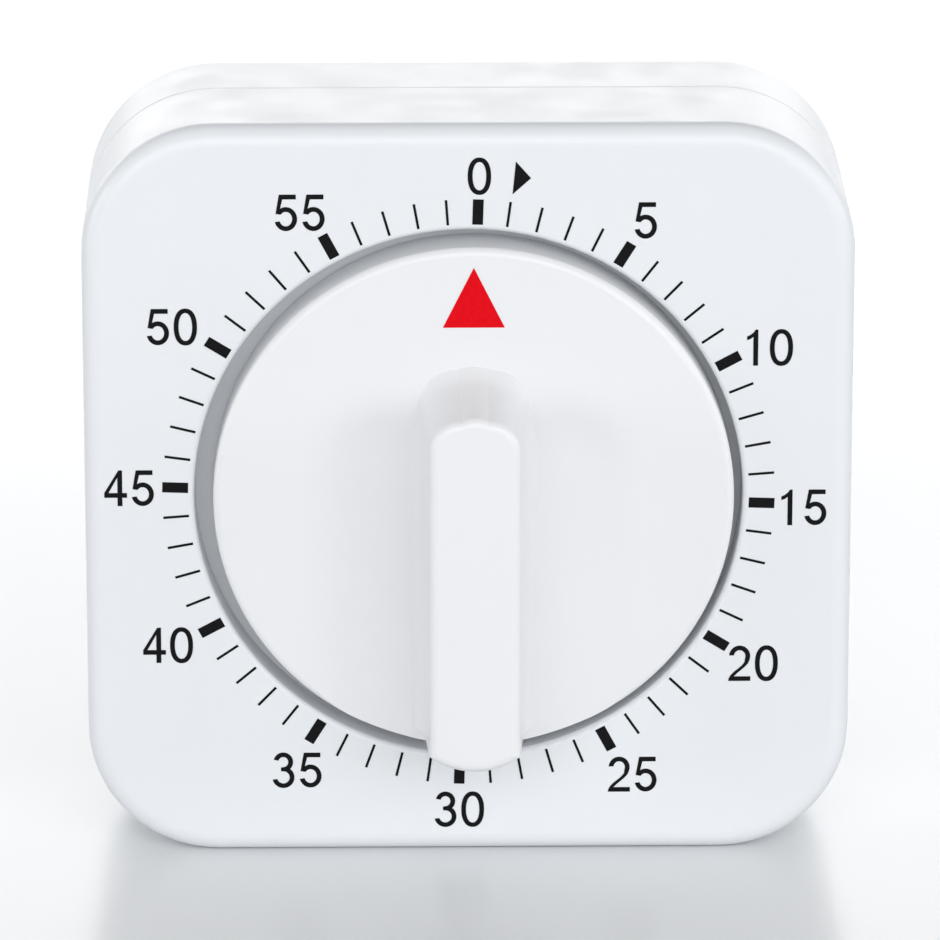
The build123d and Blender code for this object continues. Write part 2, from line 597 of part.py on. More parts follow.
def make_front_plate():
    plate = slab(plate_outline(), FRONT_PLATE_Y, FRONT_PLATE_BACK_Y)
    holes = [(AXIS, ARBOR_RADIUS + PIVOT_GAP)]
    holes += [(centre, PIVOT_RADIUS + PIVOT_GAP) for centre in PIVOT_HOLES]
    holes += [(centre, MOVEMENT_SCREW_RADIUS + SCREW_FREE_GAP) for centre in MOVEMENT_SCREWS]
    for centre, radius in holes:
        plate -= rod(centre, radius, FRONT_PLATE_Y - OVERRUN, FRONT_PLATE_BACK_Y + OVERRUN)
    return plate


def make_rear_plate():
    plate = slab(plate_outline(), REAR_PLATE_Y, REAR_PLATE_BACK_Y)
    holes = [(AXIS, ARBOR_REAR_RADIUS + PIVOT_GAP), (HAMMER_AT, SHOULDER_RADIUS + PIVOT_GAP)]
    holes += [(centre, PIVOT_RADIUS + PIVOT_GAP) for centre in PIVOT_HOLES if centre != HAMMER_AT]
    holes += [(centre, PILLAR_SCREW_RADIUS + SCREW_FREE_GAP) for centre in PILLARS]
    for centre, radius in holes:
        plate -= rod(centre, radius, REAR_PLATE_Y - OVERRUN, REAR_PLATE_BACK_Y + OVERRUN)
    for centre in MOVEMENT_SCREWS:
        plate -= rod(centre, DRIVER_HOLE_RADIUS, REAR_PLATE_Y - OVERRUN, REAR_PLATE_BACK_Y + OVERRUN)
    return plate


def make_pillars():
    pillars = []
    for centre in PILLARS:
        pillar = rod(centre, PILLAR_RADIUS, FRONT_PLATE_BACK_Y, REAR_PLATE_Y)
        hole_front = REAR_PLATE_Y - PILLAR_SCREW_BITE - HOLE_SPARE
        pillars.append(pillar - rod(centre, PILLAR_SCREW_RADIUS + SCREW_FIT, hole_front, REAR_PLATE_Y))
    return pillars


def make_pillar_screws():
    length = PLATE_THICKNESS + PILLAR_SCREW_BITE
    return [
        rear_headed_screw(
            centre,
            PILLAR_SCREW_RADIUS,
            PILLAR_SCREW_HEAD_RADIUS,
            PILLAR_SCREW_HEAD_HEIGHT,
            REAR_PLATE_BACK_Y,
            length,
        )
        for centre in PILLARS
    ]


def make_movement_screws():
    length = PLATE_THICKNESS + MOVEMENT_SCREW_BITE
    return [
        rear_headed_screw(
            centre,
            MOVEMENT_SCREW_RADIUS,
            MOVEMENT_SCREW_HEAD_RADIUS,
            MOVEMENT_SCREW_HEAD_HEIGHT,
            FRONT_PLATE_BACK_Y,
            length,
        )
        for centre in MOVEMENT_SCREWS
    ]


# ---- main arbor and winding work --------------------------------------------------------------------
def make_main_arbor():
    front = KNOB_BACK_Y - ARBOR_REACH
    arbor = rod(AXIS, ARBOR_RADIUS, KNOB_BACK_Y, REAR_PLATE_Y - END_SHAKE)
    arbor += slab(Pos(*AXIS) * arbor_section(ARBOR_RADIUS, ARBOR_FLAT), front, KNOB_BACK_Y)
    return arbor + rod(AXIS, ARBOR_REAR_RADIUS, REAR_PLATE_Y - END_SHAKE, REAR_PLATE_BACK_Y)


def make_cam_disc():
    beyond_rim = CAM_NOTCH_REACH * CAM_RADIUS
    notch_floor = CAM_RADIUS - CAM_NOTCH_DEPTH
    notch = [
        polar(FOLLOWER_BEARING - CAM_NOTCH_BEFORE, beyond_rim, AXIS),
        polar(FOLLOWER_BEARING - CAM_NOTCH_BEFORE, notch_floor, AXIS),
        polar(FOLLOWER_BEARING + CAM_NOTCH_FLOOR, notch_floor, AXIS),
        polar(FOLLOWER_BEARING + CAM_NOTCH_AFTER, beyond_rim, AXIS),
    ]
    outline = Pos(*AXIS) * (Circle(CAM_RADIUS) - Circle(ARBOR_RADIUS + SEAT_GAP)) - polygon(notch)
    return slab(outline, level(CAM_LEVEL), level(CAM_LEVEL + CAM_THICKNESS))


def make_ratchet_wheel():
    outline = saw_outline(RATCHET_TEETH, RATCHET_RADIUS, RATCHET_ROOT_RADIUS, AXIS, CLICK_NOSE_BEARING)
    outline -= Pos(*AXIS) * Circle(ARBOR_RADIUS + SEAT_GAP)
    return slab(outline, level(RATCHET_LEVEL), level(RATCHET_LEVEL + RATCHET_THICKNESS))


def crossings(centre, bearing, inner, outer, count):
    """The round openings that lighten a wheel between its hub and its rim."""
    radius = (outer - inner) / 2
    middle = (outer + inner) / 2
    holes = [Pos(*polar(bearing + 360 / count * i, middle, centre)) * Circle(radius) for i in range(count)]
    return Sketch() + holes


def make_great_wheel():
    outline = teeth_outline(GREAT_TEETH, GREAT_MODULE, AXIS, SECOND_BEARING)
    outline -= Pos(*AXIS) * Circle(ARBOR_RADIUS + ARBOR_GAP)
    outline -= Pos(*CLICK_AT) * Circle(CLICK_PIN_RADIUS + SEAT_GAP)
    outline -= Pos(*CLICK_SPRING_FOOT) * Circle(CLICK_PIN_RADIUS + SEAT_GAP)
    inner = RATCHET_RADIUS + GREAT_HUB_MARGIN
    outline -= crossings(AXIS, GREAT_OPENING_BEARING, inner, GREAT_OPENING_OUTER, 5)
    return slab(outline, level(GREAT_LEVEL), level(GREAT_LEVEL + GREAT_THICKNESS))


def make_click():
    face = CLICK_NOSE_BEARING + CLICK_FACE_ANGLE
    nose = [
        polar(face, CLICK_NOSE_RADIUS, AXIS),
        polar(face + CLICK_TIP_ANGLE, CLICK_NOSE_RADIUS + CLICK_TIP_LIFT, AXIS),
        polar(face + CLICK_HEEL_ANGLE, RATCHET_RADIUS + CLICK_HEEL_LIFT, AXIS),
        polar(CLICK_AT_BEARING, CLICK_AT_RADIUS - CLICK_BOSS_RADIUS, AXIS),
        polar(CLICK_AT_BEARING, CLICK_AT_RADIUS + CLICK_BOSS_RADIUS, AXIS),
        polar(face, RATCHET_RADIUS + CLICK_CROWN_LIFT, AXIS),
    ]
    outline = polygon(nose) + Pos(*CLICK_AT) * Circle(CLICK_BOSS_RADIUS)
    outline -= Pos(*CLICK_AT) * Circle(CLICK_PIN_RADIUS + PIVOT_GAP)
    return slab(outline, level(RATCHET_LEVEL), level(RATCHET_LEVEL + RATCHET_THICKNESS))


def make_click_pin():
    front = level(RATCHET_LEVEL - CLICK_PIN_PROUD)
    return rod(CLICK_AT, CLICK_PIN_RADIUS, front, level(GREAT_LEVEL + GREAT_THICKNESS))


def make_click_spring():
    """A flat spring on its own rivet, whose free end lies over the click."""
    foot = CLICK_SPRING_FOOT
    strip = bar(foot, CLICK_SPRING_TIP, CLICK_SPRING_HALF_THICKNESS)
    eye = Pos(*foot) * Circle(CLICK_PIN_RADIUS + CLICK_SPRING_EYE_WALL)
    leaf = slab(strip + eye, level(RATCHET_LEVEL), level(RATCHET_LEVEL + RATCHET_THICKNESS))
    return leaf + rod(foot, CLICK_PIN_RADIUS, level(RATCHET_LEVEL), level(GREAT_LEVEL + GREAT_THICKNESS))


def make_retaining_ring():
    outline = Pos(*AXIS) * (Circle(RING_RADIUS) - Circle(ARBOR_RADIUS + SEAT_GAP))
    front = GREAT_LEVEL + GREAT_THICKNESS + RING_GAP
    return slab(outline, level(front), level(front + RING_THICKNESS))


def make_mainspring():
    """A flat spiral strip, from just outside the arbor to its anchor post."""
    inner = ARBOR_RADIUS + SPRING_INNER_GAP
    growth = (SPRING_OUTER_RADIUS - SPRING_STRIP - inner) / SPRING_TURNS
    steps = int(SPRING_TURNS * SPRING_POINTS_PER_TURN)
    edges = []
    for offset in (0, SPRING_STRIP):
        points = []
        for index in range(steps + 1):
            turns = index / SPRING_POINTS_PER_TURN
            bearing = SPRING_POST_BEARING + 360 * (turns - SPRING_TURNS)
            points.append(polar(bearing, inner + offset + growth * turns, AXIS))
        edges.append(Spline(*points))
    inner_edge, outer_edge = edges
    ends = [Line(inner_edge @ 0, outer_edge @ 0), Line(inner_edge @ 1, outer_edge @ 1)]
    outline = make_face([inner_edge, outer_edge, *ends])
    return slab(outline, level(SPRING_LEVEL), level(SPRING_LEVEL + SPRING_HEIGHT))


def make_spring_post():
    return rod(SPRING_POST_AT, SPRING_POST_RADIUS, level(SPRING_LEVEL), REAR_PLATE_Y)


# ---- going train ------------------------------------------------------------------------------------
def plain_arbor(centre):
    shaft = rod(centre, SHOULDER_RADIUS, level(END_SHAKE), REAR_PLATE_Y - END_SHAKE)
    return shaft + rod(centre, PIVOT_RADIUS, FRONT_PLATE_Y, REAR_PLATE_BACK_Y)


def pinion_arbor(centre, module, driver_bearing, mesh_level):
    """An arbor with a pinion whose gap, not a leaf, faces the wheel that drives it."""
    first_leaf = driver_bearing + 180 + 180 / PINION_LEAVES
    leaves = teeth_outline(PINION_LEAVES, module, centre, first_leaf)
    middle = level(mesh_level)
    return plain_arbor(centre) + slab(leaves, middle - PINION_LENGTH / 2, middle + PINION_LENGTH / 2)


def train_wheel(outline, centre, front_level, thickness, opening_outer):
    outline -= Pos(*centre) * Circle(SHOULDER_RADIUS + SEAT_GAP)
    outline -= crossings(centre, 0, SHOULDER_RADIUS + WHEEL_HUB_MARGIN, opening_outer, 4)
    return slab(outline, level(front_level), level(front_level) + thickness)


def make_second_arbor():
    return pinion_arbor(SECOND_AT, GREAT_MODULE, SECOND_BEARING, GREAT_LEVEL + GREAT_THICKNESS / 2)


def make_third_arbor():
    return pinion_arbor(THIRD_AT, SECOND_MODULE, THIRD_BEARING, SECOND_LEVEL + WHEEL_THICKNESS / 2)


def make_escape_arbor():
    return pinion_arbor(ESCAPE_AT, THIRD_MODULE, ESCAPE_BEARING, THIRD_LEVEL + WHEEL_THICKNESS / 2)


def make_second_wheel():
    outline = teeth_outline(SECOND_TEETH, SECOND_MODULE, SECOND_AT, THIRD_BEARING)
    return train_wheel(outline, SECOND_AT, SECOND_LEVEL, WHEEL_THICKNESS, SECOND_OPENING_OUTER)


def make_third_wheel():
    outline = teeth_outline(THIRD_TEETH, THIRD_MODULE, THIRD_AT, ESCAPE_BEARING)
    return train_wheel(outline, THIRD_AT, THIRD_LEVEL, WHEEL_THICKNESS, THIRD_OPENING_OUTER)


def make_escape_wheel():
    outline = saw_outline(ESCAPE_TEETH, ESCAPE_RADIUS, ESCAPE_ROOT_RADIUS, ESCAPE_AT, 0)
    return train_wheel(outline, ESCAPE_AT, ESCAPE_LEVEL, ESCAPE_THICKNESS, ESCAPE_OPENING_OUTER)


def make_verge():
    """The verge arbor with its cross bar and the two pallet pins that straddle the escape wheel."""
    pins = [
        (VERGE_AT[0] - PALLET_PIN_BACK, VERGE_AT[1] + side * PALLET_PIN_SPREAD)
        for side in (-1, 1)
    ]
    arms = Pos(*VERGE_AT) * Circle(VERGE_HUB_RADIUS)
    for pin in pins:
        arms += bar(VERGE_AT, pin, VERGE_HALF_WIDTH)
    verge = plain_arbor(VERGE_AT) + slab(arms, level(VERGE_LEVEL), level(VERGE_LEVEL + VERGE_THICKNESS))
    pin_back = level(ESCAPE_LEVEL + ESCAPE_THICKNESS + PALLET_PIN_PROUD)
    for pin in pins:
        verge += rod(pin, PALLET_PIN_RADIUS, level(VERGE_LEVEL), pin_back)
    return verge


def make_balance_bar():
    ends = [(VERGE_AT[0], VERGE_AT[1] + side * BALANCE_HALF_LENGTH) for side in (-1, 1)]
    outline = bar(ends[0], ends[1], BALANCE_HALF_WIDTH)
    for end in ends:
        outline += Pos(*end) * Circle(BALANCE_WEIGHT_RADIUS)
    outline += Pos(*VERGE_AT) * Circle(VERGE_HUB_RADIUS)
    outline -= Pos(*VERGE_AT) * Circle(SHOULDER_RADIUS + SEAT_GAP)
    return slab(outline, level(BALANCE_LEVEL), level(BALANCE_LEVEL + BALANCE_THICKNESS))


# ---- strike work ------------------------------------------------------------------------------------
def make_hammer_arbor():
    shaft = rod(HAMMER_AT, SHOULDER_RADIUS, level(END_SHAKE), HAMMER_ARM_Y + HAMMER_ARM_THICKNESS)
    return shaft + rod(HAMMER_AT, PIVOT_RADIUS, FRONT_PLATE_Y, level(END_SHAKE))


def lever_outline(end, half_width):
    outline = bar(HAMMER_AT, end, half_width) + Pos(*HAMMER_AT) * Circle(LEVER_HUB_RADIUS)
    return outline - Pos(*HAMMER_AT) * Circle(SHOULDER_RADIUS + SEAT_GAP)


def make_hammer_lever():
    outline = lever_outline(FOLLOWER_AT, FOLLOWER_RADIUS)
    return slab(outline, level(CAM_LEVEL), level(CAM_LEVEL + CAM_THICKNESS))


def make_hammer_arm():
    outline = lever_outline(HEAD_AT, HAMMER_ARM_HALF_WIDTH)
    return slab(outline, HAMMER_ARM_Y, HAMMER_ARM_Y + HAMMER_ARM_THICKNESS)


def make_hammer_head():
    front = HAMMER_ARM_Y + HAMMER_ARM_THICKNESS
    return rod(HEAD_AT, HAMMER_HEAD_RADIUS, front, BELL_BACK_Y - HAMMER_HEAD_SETBACK)


def make_hammer_spring():
    """A torsion coil round the hammer arbor."""
    path = Helix(
        pitch=HAMMER_SPRING_PITCH,
        height=HAMMER_SPRING_PITCH * HAMMER_SPRING_TURNS,
        radius=HAMMER_SPRING_RADIUS,
        center=(HAMMER_AT[0], level(HAMMER_SPRING_LEVEL), HAMMER_AT[1]),
        direction=(0, 1, 0),
    )
    return sweep(Plane(origin=path @ 0, z_dir=path % 0) * Circle(HAMMER_SPRING_WIRE), path=path)


def make_bell():
    cup = rod(BELL_AT, BELL_RADIUS, BELL_Y, BELL_Y + BELL_DEPTH)
    cup = fillet(cup.faces().sort_by(Axis.Y)[-1].edges(), BELL_EDGE_RADIUS)
    inside = rod(BELL_AT, BELL_RADIUS - BELL_WALL, BELL_Y, BELL_BACK_Y - BELL_WALL)
    cup -= fillet(inside.faces().sort_by(Axis.Y)[-1].edges(), BELL_EDGE_RADIUS - BELL_WALL)
    return cup - rod(BELL_AT, BELL_SCREW_RADIUS + SCREW_FIT, BELL_Y, BELL_BACK_Y + OVERRUN)


def make_bell_post():
    back = BELL_BACK_Y - BELL_WALL
    post = rod(BELL_AT, BELL_POST_RADIUS, REAR_PLATE_BACK_Y, back)
    return post - rod(BELL_AT, BELL_SCREW_RADIUS + SCREW_FIT, back - BELL_SCREW_BITE - HOLE_SPARE, back)


def make_bell_screw():
    length = BELL_WALL + BELL_SCREW_BITE
    return rear_headed_screw(
        BELL_AT, BELL_SCREW_RADIUS, BELL_SCREW_HEAD_RADIUS, BELL_SCREW_HEAD_HEIGHT, BELL_BACK_Y, length
    )


# ---- write every node -------------------------------------------------------------------------------
NODES = {
    "front_case": make_front_case,
    "rear_cover": make_rear_cover,
    "cover_screws": make_cover_screws,
    "dial_knob": make_dial_knob,
    "front_plate": make_front_plate,
    "rear_plate": make_rear_plate,
    "pillars": make_pillars,
    "pillar_screws": make_pillar_screws,
    "movement_screws": make_movement_screws,
    "main_arbor": make_main_arbor,
    "cam_disc": make_cam_disc,
    "ratchet_wheel": make_ratchet_wheel,
    "great_wheel": make_great_wheel,
    "click": make_click,
    "click_pin": make_click_pin,
    "click_spring": make_click_spring,
    "retaining_ring": make_retaining_ring,
    "mainspring": make_mainspring,
    "spring_post": make_spring_post,
    "second_arbor": make_second_arbor,
    "second_wheel": make_second_wheel,
    "third_arbor": make_third_arbor,
    "third_wheel": make_third_wheel,
    "escape_arbor": make_escape_arbor,
    "escape_wheel": make_escape_wheel,
    "verge": make_verge,
    "balance_bar": make_balance_bar,
    "hammer_arbor": make_hammer_arbor,
    "hammer_lever": make_hammer_lever,
    "hammer_arm": make_hammer_arm,
    "hammer_head": make_hammer_head,
    "hammer_spring": make_hammer_spring,
    "bell": make_bell,
    "bell_post": make_bell_post,
    "bell_screw": make_bell_screw,
}


def main():
    os.makedirs("parts", exist_ok=True)
    for node, make in NODES.items():
        shape = make()
        if isinstance(shape, list):
            shape = Compound(children=[solid for item in shape for solid in item.solids()])
        export_step(shape, f"parts/{node}.step")


if __name__ == "__main__":
    main()
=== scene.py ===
from math import cos, pi, radians, sin

import bpy
from mathutils import Matrix, Vector


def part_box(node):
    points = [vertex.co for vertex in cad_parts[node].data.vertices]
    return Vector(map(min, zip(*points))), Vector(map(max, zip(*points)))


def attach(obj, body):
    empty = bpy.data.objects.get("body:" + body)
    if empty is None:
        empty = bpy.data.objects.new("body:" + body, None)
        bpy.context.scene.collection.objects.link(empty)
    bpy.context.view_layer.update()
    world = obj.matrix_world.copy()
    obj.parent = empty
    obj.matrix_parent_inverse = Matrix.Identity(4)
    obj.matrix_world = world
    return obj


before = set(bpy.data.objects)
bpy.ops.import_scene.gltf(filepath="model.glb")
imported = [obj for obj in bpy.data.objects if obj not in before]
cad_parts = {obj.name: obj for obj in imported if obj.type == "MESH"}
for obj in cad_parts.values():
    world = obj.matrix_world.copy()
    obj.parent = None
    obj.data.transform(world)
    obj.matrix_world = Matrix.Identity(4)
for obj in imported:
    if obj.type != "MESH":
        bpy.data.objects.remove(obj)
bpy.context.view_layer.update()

bl_info = {
    "name": "Lab Timer Looks",
    "version": (1, 0, 0),
    "blender": (4, 5, 0),
    "location": "3D View > Sidebar > Lab Timer",
    "description": "Finishes, printed scale, floor, lights and camera for the sixty-minute timer",
    "category": "Object",
}

MM = 0.001

# ---- places taken from the frame --------------------------------------------------------------------
CASE_LOW, CASE_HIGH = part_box("front_case")
KNOB_LOW, KNOB_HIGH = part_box("dial_knob")
FACE_Y = CASE_LOW.y
AXIS_HEIGHT = (CASE_LOW.z + CASE_HIGH.z) / 2
KNOB_AXIS_X = (KNOB_LOW.x + KNOB_HIGH.x) / 2
KNOB_PROUD = 1.6 * MM
KNOB_FACE_Y = FACE_Y - KNOB_PROUD

MINUTES = 60
MINUTES_PER_NUMBER = 5
UPRIGHT = Matrix.Rotation(radians(90), 4, "X")

# The scale of a brushed metal's noise along each axis: its lines run along the small one.
LINES_ACROSS = (0.05, 1.0, 1.0)
LINES_UP = (1.0, 1.0, 0.05)

# Which node takes which finish.
FINISHES = {
    "case_white": ["front_case", "rear_cover"],
    "knob_white": ["dial_knob"],
    "plate_steel": ["front_plate", "rear_plate", "cam_disc", "hammer_lever", "hammer_arm"],
    "arbor_steel": [
        "pillars", "main_arbor", "ratchet_wheel", "click", "click_pin", "spring_post", "second_arbor",
        "third_arbor", "escape_arbor", "verge", "hammer_arbor", "bell_post",
    ],
    "screw_steel": ["cover_screws", "pillar_screws", "movement_screws", "bell_screw"],
    "spring_steel": ["click_spring", "retaining_ring", "mainspring", "hammer_spring"],
    "wheel_brass": ["great_wheel", "balance_bar", "hammer_head"],
    "wheel_plastic": ["second_wheel", "third_wheel", "escape_wheel"],
    "bell_nickel": ["bell"],
}

# Where each number's middle stands from the dial's middle, in millimetres to the right and up.
NUMBER_PLACES = {
    "0": (0.97, 30.05),
    "5": (15.97, 25.87),
    "10": (27.1, 13.9),
    "15": (30.4, -1.3),
    "20": (26.1, -16.3),
    "25": (15.1, -27.05),
    "30": (-0.87, -30.4),
    "35": (-15.8, -26.5),
    "40": (-27.55, -14.3),
    "45": (-30.9, 0.8),
    "50": (-26.85, 16.05),
    "55": (-15.2, 26.7),
}

# The turn arrow's corners in the same millimetres: lower, point and upper.
ARROW_CORNERS = [(3.95, 28.35), (5.62, 29.85), (4.25, 31.4)]


# ---- node helpers -----------------------------------------------------------------------------------
class Reading:
    """A node socket that plain arithmetic can be written on."""

    def __init__(self, graph, socket):
        self.graph = graph
        self.socket = socket

    def _math(self, operation, first, second):
        kind = "ShaderNodeMath"
        made = self.graph.node(kind, {"operation": operation}, {0: first, 1: second})
        return self.graph.read(made)

    def __add__(self, other):
        return self._math("ADD", self, other)

    __radd__ = __add__

    def __mul__(self, other):
        return self._math("MULTIPLY", self, other)

    __rmul__ = __mul__

    def __sub__(self, other):
        return self._math("SUBTRACT", self, other)

    def __rsub__(self, other):
        return self._math("SUBTRACT", other, self)

    def __truediv__(self, other):
        return self._math("DIVIDE", self, other)

    def __mod__(self, other):
        return self._math("MODULO", self, other)

    def __rtruediv__(self, other):
        return self._math("DIVIDE", other, self)


class Graph:
    """A node tree and the one way that nodes are added to it."""

    def __init__(self, tree):
        self.tree = tree

    def node(self, kind, settings, sockets):
        """Add a node: its settings first, then the values or links of its sockets."""
        made = self.tree.nodes.new(kind)
        for name, value in settings.items():
            if name == "stops":
                self._set_stops(made.color_ramp, value)
            else:
                setattr(made, name, value)
        for name, value in sockets.items():
            self.feed(made, name, value)
        return made

    def feed(self, made, name, value):
        if isinstance(value, Reading):
            self.tree.links.new(value.socket, made.inputs[name])
        else:
            made.inputs[name].default_value = value

    def read(self, made, output=0):
        return Reading(self, made.outputs[output])

    def _set_stops(self, ramp, stops):
        while len(ramp.elements) < len(stops):
            ramp.elements.new(1.0)
        for element, (position, colour) in zip(ramp.elements, stops):
            element.position = position
            element.color = colour

    def mixed(self, factor, first, second):
        """Mix two colours."""
        made = self.node("ShaderNodeMix", {"data_type": "RGBA"}, {0: factor, 6: first, 7: second})
        return self.read(made, 2)

    def noise(self, place, scale, detail=2.0, roughness=0.5):
        sockets = {"Vector": place, "Scale": scale, "Detail": detail, "Roughness": roughness}
        return self.read(self.node("ShaderNodeTexNoise", {}, sockets))

    def ranged(self, value, low, high, to_low, to_high):
        sockets = {"Value": value, "From Min": low, "From Max": high, "To Min": to_low, "To Max": to_high}
        return self.read(self.node("ShaderNodeMapRange", {}, sockets))

    def bump(self, height, distance, strength):
        made = self.node("ShaderNodeBump", {}, {"Strength": strength, "Distance": distance, "Height": height})
        return self.read(made)


def new_material(name, viewport_colour):
    """An empty material with its graph and its object coordinates; close_material adds its output node."""
    material = bpy.data.materials.new(name)
    material.use_nodes = True
    material.diffuse_color = viewport_colour
    tree = material.node_tree
    tree.nodes.clear()
    graph = Graph(tree)
    place = graph.read(graph.node("ShaderNodeTexCoord", {}, {}), "Object")
    return material, graph, place


def close_material(graph, sockets):
    shader = graph.node("ShaderNodeBsdfPrincipled", {}, sockets)
    graph.node("ShaderNodeOutputMaterial", {}, {"Surface": graph.read(shader)})


def opaque(colour):
    return (colour[0], colour[1], colour[2], 1.0)


def shaded(colour, share):
    return (colour[0] * share, colour[1] * share, colour[2] * share, 1.0)


# ---- finishes ---------------------------------------------------------------------------------------
def moulded_plastic(name, colour, roughness, grain_size, grain_depth):
    """Injection-moulded plastic: a fine spark texture, slow flow clouds and a few polished spots."""
    material, graph, place = new_material(name, opaque(colour))
    clouds = graph.noise(place, 45.0, 3.0)
    grain = graph.noise(place, 1.0 / grain_size, 2.0, 0.6)
    handling = graph.noise(place, 160.0, 4.0, 0.65)
    tint = graph.mixed(graph.ranged(clouds, 0.3, 0.7, 0.0, 1.0), shaded(colour, 0.985), opaque(colour))
    polish = graph.ranged(handling, 0.35, 0.7, roughness + 0.05, roughness - 0.05)
    surface = grain * 0.8 + clouds * 0.2
    close_material(graph, {
        "Base Color": tint,
        "Roughness": polish,
        "IOR": 1.5,
        "Normal": graph.bump(surface, grain_depth, 0.35),
    })
    return material


def brushed_metal(name, colour, roughness, stretch, line_depth):
    """Rolled or drawn metal: long fine lines one way, and a soft mottling of its plating."""
    material, graph, place = new_material(name, opaque(colour))
    mapped = graph.read(graph.node("ShaderNodeMapping", {}, {"Vector": place, "Scale": stretch}))
    lines = graph.noise(mapped, 900.0, 3.0, 0.6)
    mottle = graph.noise(place, 320.0, 3.0)
    tint = graph.mixed(graph.ranged(mottle, 0.3, 0.7, 0.0, 1.0), shaded(colour, 0.86), opaque(colour))
    close_material(graph, {
        "Base Color": tint,
        "Metallic": 1.0,
        "Roughness": graph.ranged(lines, 0.3, 0.7, roughness - 0.06, roughness + 0.08),
        "Normal": graph.bump(lines, line_depth, 0.25),
    })
    return material


def turned_metal(name, colour, roughness):
    """Turned, hardened or plated metal: an even sheen with fine tool marks and a little staining."""
    material, graph, place = new_material(name, opaque(colour))
    marks = graph.noise(place, 2400.0, 2.0)
    stain = graph.noise(place, 260.0, 4.0, 0.6)
    tint = graph.mixed(graph.ranged(stain, 0.4, 0.75, 0.0, 1.0), opaque(colour), shaded(colour, 0.8))
    close_material(graph, {
        "Base Color": tint,
        "Metallic": 1.0,
        "Roughness": graph.ranged(stain, 0.3, 0.7, roughness, roughness + 0.1),
        "Normal": graph.bump(marks, 0.004 * MM, 0.3),
    })
    return material


def printed_ink(name, colour, roughness):
    """Pad-printed ink: slightly uneven cover and a fine orange-peel surface."""
    material, graph, place = new_material(name, opaque(colour))
    cover = graph.noise(place, 2600.0, 3.0, 0.6)
    peel = graph.noise(place, 5200.0, 2.0)
    lighter = (colour[0] * 1.12 + 0.003, colour[1] * 1.12 + 0.003, colour[2] * 1.12 + 0.003, 1.0)
    close_material(graph, {
        "Base Color": graph.mixed(graph.ranged(cover, 0.45, 0.8, 0.0, 1.0), opaque(colour), lighter),
        "Roughness": graph.ranged(peel, 0.3, 0.7, roughness - 0.05, roughness + 0.07),
        "IOR": 1.45,
        "Specular IOR Level": 0.12,
        "Normal": graph.bump(peel, 0.006 * MM, 0.3),
    })
    return material


def finish_nodes(finish, material):
    """Give a finish to every CAD node that is made of it."""
    for node in FINISHES[finish]:
        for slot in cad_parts[node].material_slots:
            slot.material = material


# ---- meshes -----------------------------------------------------------------------------------------
def plain_mesh(source):
    """The evaluated shape of an object as a mesh with nothing live on it."""
    evaluated = source.evaluated_get(bpy.context.evaluated_depsgraph_get())
    return bpy.data.meshes.new_from_object(evaluated)


def place_mesh(name, mesh, placement, material, body):
    """Put a finished mesh into the frame: its place goes into its points, and it rides on its body."""
    mesh.transform(placement)
    mesh.materials.clear()
    mesh.materials.append(material)
    piece = bpy.data.objects.new(name, mesh)
    bpy.context.scene.collection.objects.link(piece)
    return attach(piece, body)


def loops_to_mesh(loops, thickness):
    """A flat solid from closed outlines, where an outline inside another one is a hole."""
    curve = bpy.data.curves.new("outline", "CURVE")
    curve.dimensions = "2D"
    curve.fill_mode = "BOTH"
    curve.extrude = thickness / 2
    for loop in loops:
        spline = curve.splines.new("POLY")
        spline.points.add(len(loop) - 1)
        for point, (x, y) in zip(spline.points, loop):
            point.co = (x, y, 0, 1)
        spline.use_cyclic_u = True
    holder = bpy.data.objects.new("outline", curve)
    bpy.context.scene.collection.objects.link(holder)
    mesh = plain_mesh(holder)
    bpy.data.objects.remove(holder)
    bpy.data.curves.remove(curve)
    return mesh


def arc(centre, radii, start, end, steps=20):
    """Points along an ellipse from one angle to another, in degrees."""
    points = []
    for index in range(steps + 1):
        angle = radians(start + (end - start) * index / steps)
        points.append((centre[0] + radii[0] * cos(angle), centre[1] + radii[1] * sin(angle)))
    return points


def oval(centre, radii, squareness, steps=48):
    """A closed oval whose sides are a little straighter than an ellipse's."""
    points = []
    for index in range(steps):
        angle = 2 * pi * index / steps
        across, up = cos(angle), sin(angle)
        bulge = (abs(across) ** squareness + abs(up) ** squareness) ** (-1 / squareness)
        points.append((centre[0] + radii[0] * across * bulge, centre[1] + radii[1] * up * bulge))
    return points


# ---- numerals: outlines in shares of the numeral's height -------------------------------------------
STROKE = 0.13
NUMERAL_WIDTH = 0.64


def numeral_zero():
    middle = (NUMERAL_WIDTH / 2, 0.5)
    outer = oval(middle, (0.31, 0.51), 2.25)
    inner = oval(middle, (0.31 - STROKE, 0.51 - STROKE * 0.95), 2.2)
    return [outer, inner]


def numeral_one():
    right = 0.43
    left = right - STROKE
    return [[
        (right, 0.0), (right, 1.0), (0.36, 1.0), (0.31, 0.925), (0.235, 0.86), (0.13, 0.805),
        (0.13, 0.705), (0.225, 0.74), (left, 0.8), (left, 0.0),
    ]]


def numeral_two():
    bowl = (0.325, 0.705)
    outer = arc(bowl, (0.285, 0.3), 176, -22)
    inner = arc(bowl, (0.285 - STROKE, 0.3 - STROKE), -20, 172)
    slope_down = [(0.555, 0.505), (0.475, 0.41), (0.375, 0.32), (0.27, 0.23), (0.2, 0.16), (0.17, STROKE)]
    base = [(0.62, STROKE), (0.62, 0.0), (0.02, 0.0)]
    slope_up = [(0.035, 0.075), (0.085, 0.165), (0.175, 0.26), (0.29, 0.355), (0.385, 0.44), (0.455, 0.53)]
    return [outer + slope_down + base + slope_up + inner]


